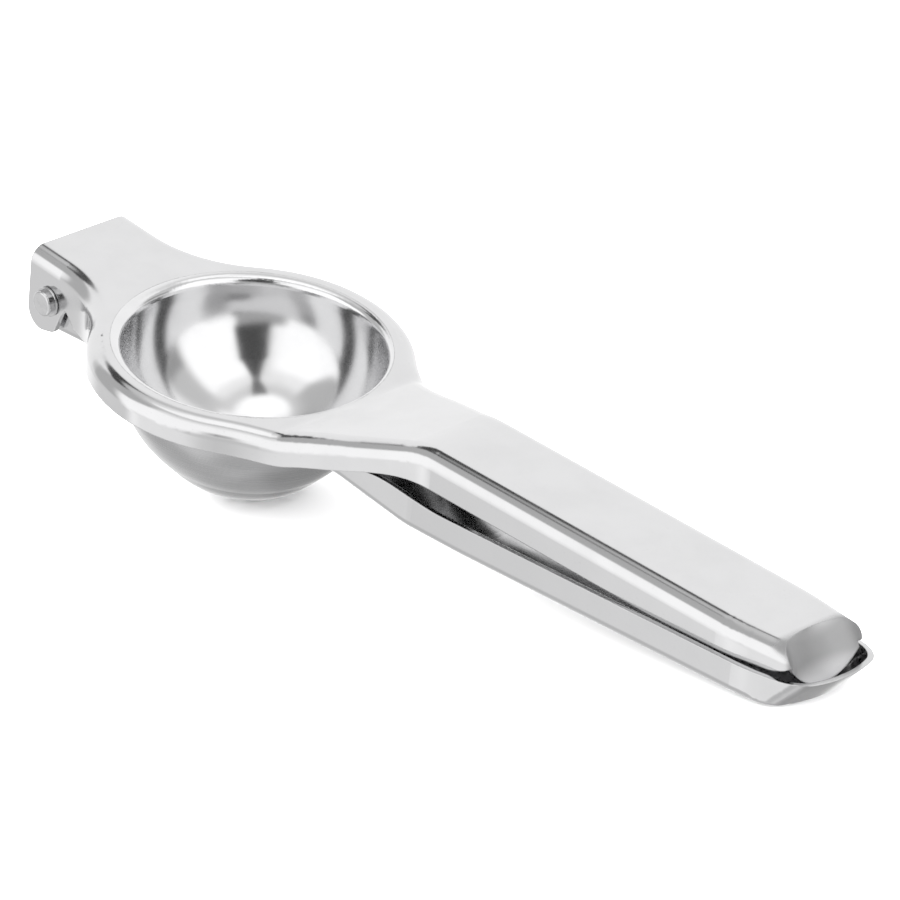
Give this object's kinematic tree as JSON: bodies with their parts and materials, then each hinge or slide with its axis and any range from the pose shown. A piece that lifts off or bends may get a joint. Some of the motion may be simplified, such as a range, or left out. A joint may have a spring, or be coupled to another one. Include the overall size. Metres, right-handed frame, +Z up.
{
  "type": "lemon squeezer",
  "caption": "Hinged citrus press: two folded sheet-metal levers, an upper press cup and a lower strainer bowl joined by a cross rivet at one end.",
  "frame": {"origin": "centre of the bounding box's base, on the table under the closed squeezer", "axes": "+X from the hinge towards the handle ends, +Y across, +Z up"},
  "size_m": [0.2208, 0.065, 0.0439],
  "materials": {
    "upper_polished": "polished",
    "cup_mirror": "mirror polished",
    "lower_polished": "polished",
    "bowl_satin": "satin, brushed around the bowl",
    "rivet_steel": "polished"
  },
  "bodies": {
    "lower": {"lower_lever": "lower_polished", "strainer_bowl": "bowl_satin", "hinge_rivet": "rivet_steel", "near_washer": "rivet_steel", "far_washer": "rivet_steel"},
    "upper": {"upper_lever": "upper_polished", "press_cup": "cup_mirror"}
  },
  "joints": [
    {"name": "lever_hinge", "type": "hinge", "parent": "lower", "child": "upper", "pos_m": [-0.10333, 0, 0.03334], "axis": [0, -1, 0], "range_deg": [0, 120]}
  ]
}
